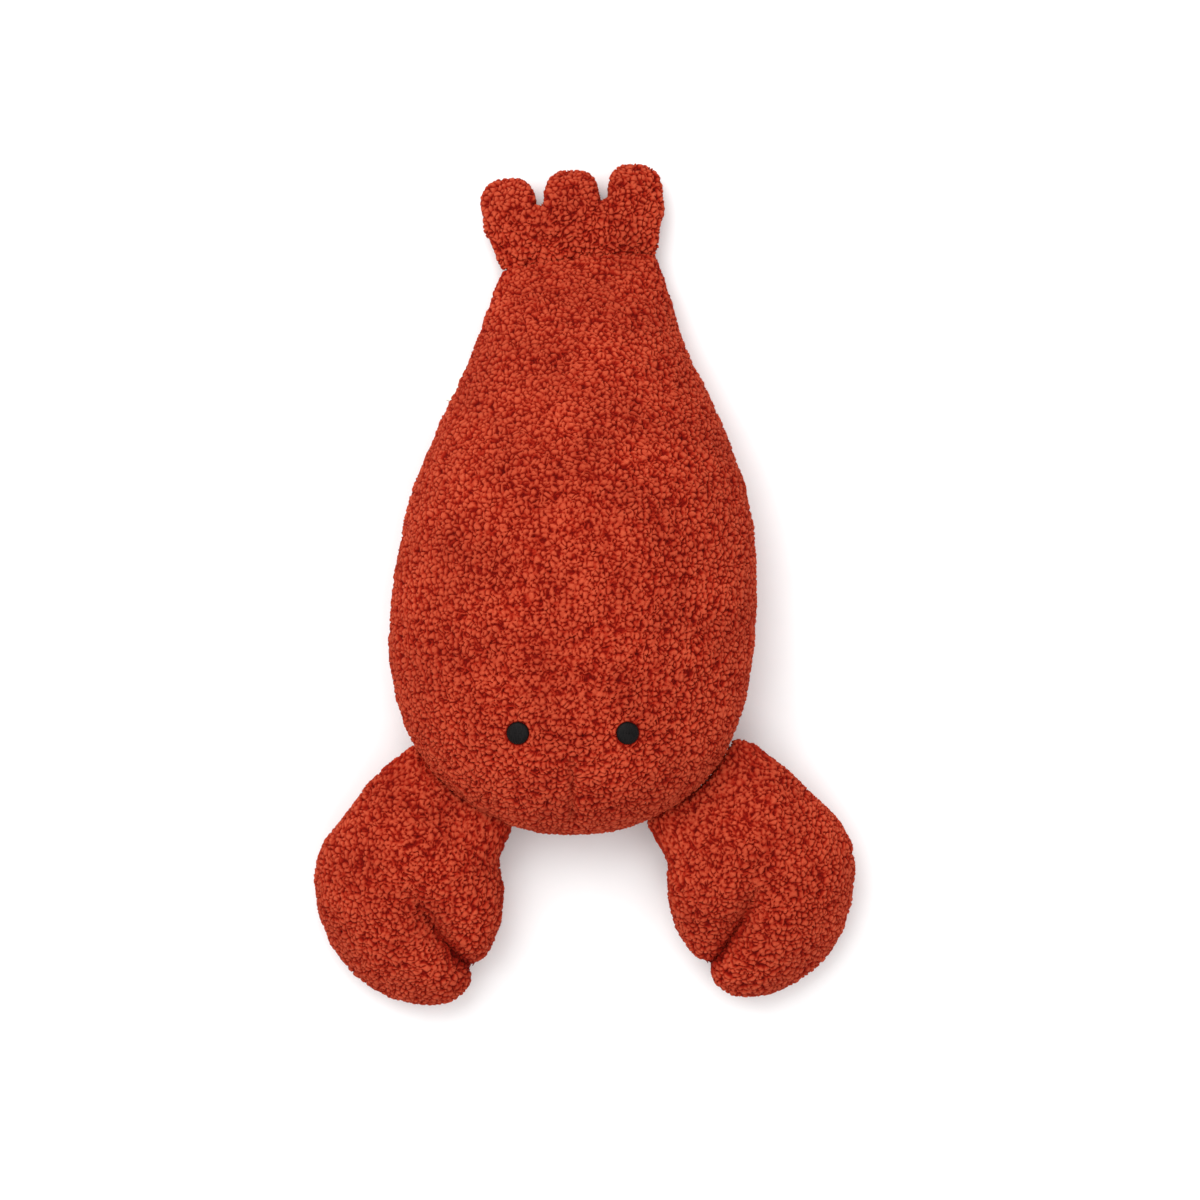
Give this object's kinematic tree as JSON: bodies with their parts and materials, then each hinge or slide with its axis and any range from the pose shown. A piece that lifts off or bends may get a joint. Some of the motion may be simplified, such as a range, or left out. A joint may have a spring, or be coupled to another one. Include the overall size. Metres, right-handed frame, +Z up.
{
  "type": "stuffed toy lobster",
  "caption": "Soft toy lobster in curly teddy cloth, with a stuffed body, two folding claws and a folding three-lobed tail fan.",
  "frame": {"origin": "on the table, under the middle of the toy's bounding box, as it lies on its belly", "axes": "+Z up, +Y towards the tail fan, -Y towards the face and claws, +X towards the toy's own left claw"},
  "size_m": [0.2769, 0.4342, 0.0907],
  "materials": {
    "teddy_cloth": "brick red curly teddy pile",
    "fibre_fill": "loose white polyester fibre",
    "sewing_thread": "dark red polyester thread",
    "eye_embroidery": "black satin-stitch embroidery",
    "felt_backing": "stiff black felt",
    "woven_label": "plain white woven satin, blank"
  },
  "bodies": {
    "body": {"body_top_panel": "teddy_cloth", "body_bottom_panel": "teddy_cloth", "body_stuffing": "fibre_fill", "body_seam_thread": "sewing_thread", "closing_stitches": "sewing_thread", "snout_dart_thread": "sewing_thread", "left_eye": "eye_embroidery", "right_eye": "eye_embroidery", "left_eye_backing": "felt_backing", "right_eye_backing": "felt_backing", "care_label": "woven_label", "left_claw_joining_thread": "sewing_thread", "right_claw_joining_thread": "sewing_thread", "tail_fan_joining_thread": "sewing_thread"},
    "left_claw": {"left_claw_top_panel": "teddy_cloth", "left_claw_bottom_panel": "teddy_cloth", "left_claw_stuffing": "fibre_fill", "left_claw_seam_thread": "sewing_thread"},
    "right_claw": {"right_claw_top_panel": "teddy_cloth", "right_claw_bottom_panel": "teddy_cloth", "right_claw_stuffing": "fibre_fill", "right_claw_seam_thread": "sewing_thread"},
    "tail_fan": {"tail_fan_top_panel": "teddy_cloth", "tail_fan_bottom_panel": "teddy_cloth", "tail_fan_stuffing": "fibre_fill", "tail_fan_seam_thread": "sewing_thread"}
  },
  "joints": [
    {"name": "left_claw_fold", "type": "hinge", "parent": "body", "child": "left_claw", "pos_m": [0.0624, -0.1052, 0.042], "axis": [-0.7396, -0.673, 0], "range_deg": [-35, 50]},
    {"name": "right_claw_fold", "type": "hinge", "parent": "body", "child": "right_claw", "pos_m": [-0.0676, -0.1072, 0.042], "axis": [-0.8211, 0.5707, 0], "range_deg": [-35, 50]},
    {"name": "tail_fan_fold", "type": "hinge", "parent": "body", "child": "tail_fan", "pos_m": [-0.003, 0.169, 0.016], "axis": [0.9938, 0.1115, 0], "range_deg": [-45, 60]}
  ]
}
